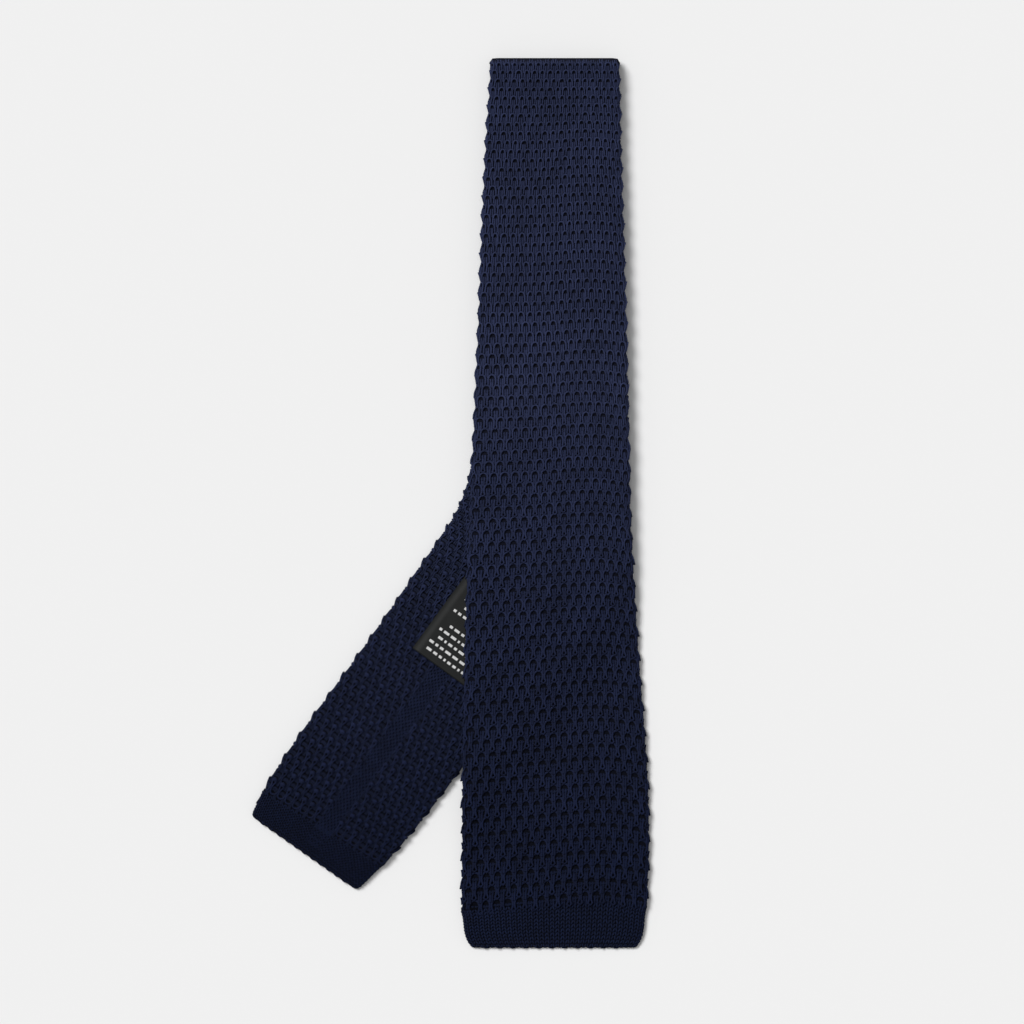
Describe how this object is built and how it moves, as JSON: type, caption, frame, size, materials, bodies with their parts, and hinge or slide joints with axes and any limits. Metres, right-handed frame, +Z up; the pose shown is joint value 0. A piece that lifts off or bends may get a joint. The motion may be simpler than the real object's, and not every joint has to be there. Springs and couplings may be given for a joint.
{
  "type": "knit tie",
  "caption": "Knitted necktie with square plain-knit ends, folded once at the neck and laid flat, the broad blade over the slanting tail.",
  "frame": {"origin": "on the surface that the tie lies on, under the middle of its outline seen from above", "axes": "+Z up out of the surface, +Y towards the fold at the neck, +X towards the front blade's right edge as seen from above"},
  "size_m": [0.1242, 0.2762, 0.0078],
  "materials": {
    "tuck_knit": "matte cotton yarn in a staggered tuck stitch, navy",
    "plain_knit": "matte cotton yarn in a fine plain stitch, navy",
    "label_satin": "black satin with a soft sheen"
  },
  "bodies": {
    "root": {"knit_body": "tuck_knit", "front_hem": "plain_knit", "tail_hem": "plain_knit", "care_label": "label_satin"}
  },
  "joints": []
}
